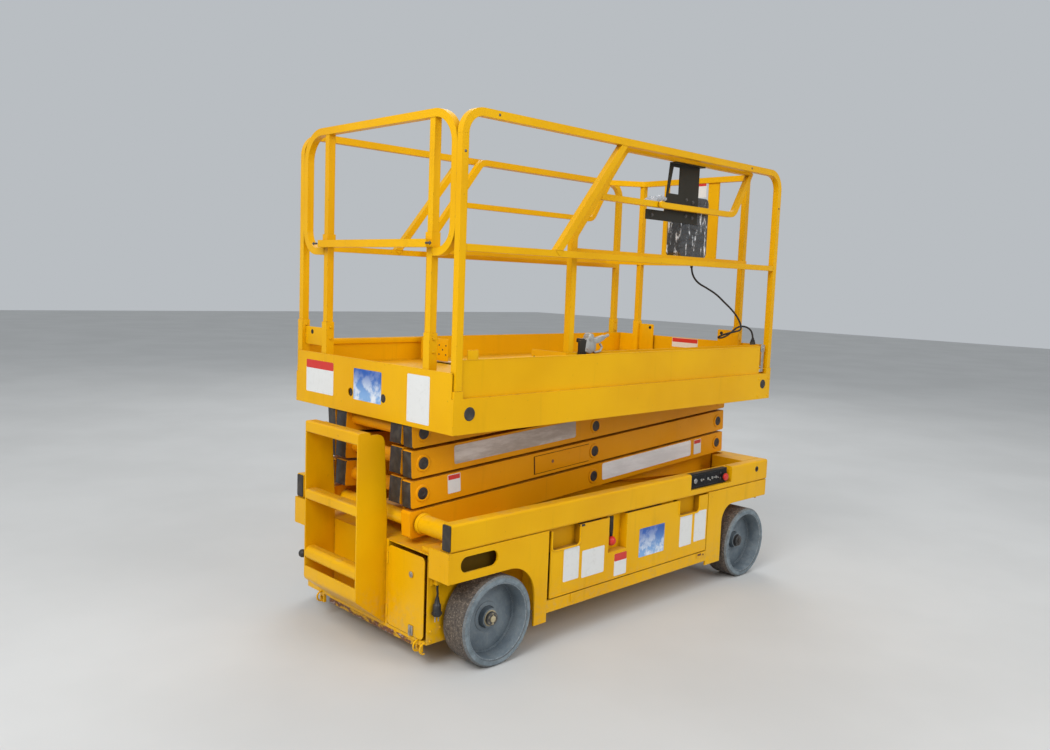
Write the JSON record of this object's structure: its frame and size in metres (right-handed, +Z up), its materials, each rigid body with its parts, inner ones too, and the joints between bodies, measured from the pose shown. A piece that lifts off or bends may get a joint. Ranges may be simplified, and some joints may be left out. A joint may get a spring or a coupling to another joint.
{
  "type": "scissor lift",
  "caption": "Compact electric scissor lift with guard-railed platform, sliding deck extension, steered solid-tyred wheels and a rear ladder, lowered.",
  "frame": {"origin": "on the ground below the middle of the overall box", "axes": "+X towards the steered front end, +Y to the machine's left, +Z up"},
  "size_m": [2.49, 1.2, 2.2419],
  "materials": {
    "yellow_paint": "satin",
    "arm_paint": "satin",
    "wheel_paint": "satin",
    "tyre": "matte",
    "black_steel": "satin",
    "steel": "satin",
    "chrome": "gloss",
    "plate": "satin",
    "black_plastic": "matte",
    "film": "gloss"
  },
  "bodies": {
    "chassis": {"chassis_frame": "yellow_paint", "chassis_sills": "yellow_paint", "chassis_spine": "yellow_paint", "ram_mount": "arm_paint", "rear_housing": "yellow_paint", "rear_axles": "steel", "front_axle": "steel", "skirt_right": "yellow_paint", "skirt_left": "yellow_paint", "ladder": "yellow_paint", "rail_caps": "black_plastic", "ground_panel": "black_steel"},
    "knuckle_right": {"knuckle_right": "steel"},
    "knuckle_left": {"knuckle_left": "steel"},
    "tie_rod": {"tie_rod": "steel"},
    "wheel_rear_right": {"tyre_rear_right": "tyre", "rim_rear_right": "wheel_paint"},
    "wheel_rear_left": {"tyre_rear_left": "tyre", "rim_rear_left": "wheel_paint"},
    "wheel_front_right": {"tyre_front_right": "tyre", "rim_front_right": "wheel_paint"},
    "wheel_front_left": {"tyre_front_left": "tyre", "rim_front_left": "wheel_paint"},
    "rear_door": {"rear_door": "yellow_paint"},
    "tray_right": {"tray_right": "yellow_paint", "battery_pack": "black_plastic"},
    "tray_left": {"tray_left": "yellow_paint", "hydraulic_unit": "steel"},
    "ram_barrel": {"ram_barrel": "black_steel"},
    "ram_rod": {"ram_rod": "chrome"},
    "platform": {"platform_deck": "yellow_paint", "guardrail_right": "yellow_paint", "guardrail_left": "yellow_paint", "guardrail_rear": "yellow_paint"},
    "entry_bar": {"entry_bar": "yellow_paint"},
    "extension": {"extension_deck": "yellow_paint", "extension_rails": "yellow_paint", "control_bracket": "black_steel", "control_box": "film", "control_cord": "black_plastic", "control_socket": "black_plastic"},
    "outer_arms_1": {"outer_arms_1": "arm_paint"},
    "inner_arms_1": {"inner_arms_1": "arm_paint"},
    "outer_arms_2": {"outer_arms_2": "arm_paint"},
    "inner_arms_2": {"inner_arms_2": "arm_paint"},
    "outer_arms_3": {"outer_arms_3": "arm_paint"},
    "inner_arms_3": {"inner_arms_3": "arm_paint"},
    "outer_arms_4": {"outer_arms_4": "arm_paint"},
    "inner_arms_4": {"inner_arms_4": "arm_paint"}
  },
  "joints": [
    {"name": "lift", "type": "hinge", "parent": "chassis", "child": "outer_arms_1", "pos_m": [-1.023, 0, 0.576], "axis": [0, -1, 0], "range_deg": [0, 57.3]},
    {"name": "cross_1", "type": "hinge", "parent": "outer_arms_1", "child": "inner_arms_1", "pos_m": [0.04964, 0, 0.63925], "axis": [0, -1, 0], "range_deg": [-114.7, 0]},
    {"name": "pivot_2", "type": "hinge", "parent": "inner_arms_1", "child": "outer_arms_2", "pos_m": [-1.023, 0, 0.7025], "axis": [0, -1, 0], "range_deg": [0, 114.7]},
    {"name": "cross_2", "type": "hinge", "parent": "outer_arms_2", "child": "inner_arms_2", "pos_m": [0.04964, 0, 0.76575], "axis": [0, -1, 0], "range_deg": [-114.7, 0]},
    {"name": "pivot_3", "type": "hinge", "parent": "inner_arms_2", "child": "outer_arms_3", "pos_m": [-1.023, 0, 0.829], "axis": [0, -1, 0], "range_deg": [0, 114.7]},
    {"name": "cross_3", "type": "hinge", "parent": "outer_arms_3", "child": "inner_arms_3", "pos_m": [0.04964, 0, 0.89225], "axis": [0, -1, 0], "range_deg": [-114.7, 0]},
    {"name": "pivot_4", "type": "hinge", "parent": "inner_arms_3", "child": "outer_arms_4", "pos_m": [-1.023, 0, 0.9555], "axis": [0, -1, 0], "range_deg": [0, 114.7]},
    {"name": "cross_4", "type": "hinge", "parent": "outer_arms_4", "child": "inner_arms_4", "pos_m": [0.04964, 0, 1.01875], "axis": [0, -1, 0], "range_deg": [-114.7, 0]},
    {"name": "platform_pivot", "type": "hinge", "parent": "inner_arms_4", "child": "platform", "pos_m": [-1.023, 0, 1.082], "axis": [0, -1, 0], "range_deg": [0, 57.4]},
    {"name": "ram_swing", "type": "hinge", "parent": "chassis", "child": "ram_barrel", "pos_m": [-0.812, 0, 0.554], "axis": [0, -1, 0], "range_deg": [0, 66.4]},
    {"name": "ram_stroke", "type": "slide", "parent": "ram_barrel", "child": "ram_rod", "axis": [0.9983, 0, 0.0588], "range_m": [0, 0.3101]},
    {"name": "extension_slide", "type": "slide", "parent": "platform", "child": "extension", "axis": [1, 0, 0], "range_m": [0, 0.92]},
    {"name": "entry_bar_lift", "type": "slide", "parent": "platform", "child": "entry_bar", "axis": [0, 0, 1], "range_m": [0, 0.4]},
    {"name": "rear_door_hinge", "type": "hinge", "parent": "chassis", "child": "rear_door", "pos_m": [-1.099, -0.188, 0.299], "axis": [0, 0, -1], "range_deg": [0, 90]},
    {"name": "tray_right_slide", "type": "slide", "parent": "chassis", "child": "tray_right", "axis": [0, -1, 0], "range_m": [0, 0.3]},
    {"name": "tray_left_slide", "type": "slide", "parent": "chassis", "child": "tray_left", "axis": [0, 1, 0], "range_m": [0, 0.3]},
    {"name": "steer", "type": "hinge", "parent": "chassis", "child": "knuckle_left", "pos_m": [1.03, 0.42, 0.1905], "axis": [0, 0, 1], "range_deg": [-40, 40]},
    {"name": "steer_right", "type": "hinge", "parent": "chassis", "child": "knuckle_right", "pos_m": [1.03, -0.42, 0.1905], "axis": [0, 0, 1], "range_deg": [-40.1, 40.1]},
    {"name": "tie_rod_turn", "type": "hinge", "parent": "knuckle_left", "child": "tie_rod", "pos_m": [0.9, 0.42, 0.1905], "axis": [0, 0, 1], "range_deg": [-40.1, 40.1]},
    {"name": "roll_rear_right", "type": "hinge", "parent": "chassis", "child": "wheel_rear_right", "pos_m": [-0.831, -0.5365, 0.1905], "axis": [0, 1, 0], "continuous": true},
    {"name": "roll_front_right", "type": "hinge", "parent": "knuckle_right", "child": "wheel_front_right", "pos_m": [1.03, -0.5365, 0.1905], "axis": [0, 1, 0], "continuous": true},
    {"name": "roll_rear_left", "type": "hinge", "parent": "chassis", "child": "wheel_rear_left", "pos_m": [-0.831, 0.5365, 0.1905], "axis": [0, 1, 0], "continuous": true},
    {"name": "roll_front_left", "type": "hinge", "parent": "knuckle_left", "child": "wheel_front_left", "pos_m": [1.03, 0.5365, 0.1905], "axis": [0, 1, 0], "continuous": true}
  ],
  "couplings": [
    {"joint": "cross_1", "follows": "lift", "ratio": -2},
    {"joint": "pivot_2", "follows": "lift", "ratio": 2},
    {"joint": "cross_2", "follows": "lift", "ratio": -2},
    {"joint": "pivot_3", "follows": "lift", "ratio": 2},
    {"joint": "cross_3", "follows": "lift", "ratio": -2},
    {"joint": "pivot_4", "follows": "lift", "ratio": 2},
    {"joint": "cross_4", "follows": "lift", "ratio": -2},
    {"joint": "platform_pivot", "follows": "lift", "ratio": 1},
    {"joint": "ram_swing", "follows": "lift", "ratio": 1.1571},
    {"joint": "ram_stroke", "follows": "lift", "m_per_rad": 0.3096},
    {"joint": "steer_right", "follows": "steer", "ratio": 1},
    {"joint": "tie_rod_turn", "follows": "steer", "ratio": -1}
  ]
}
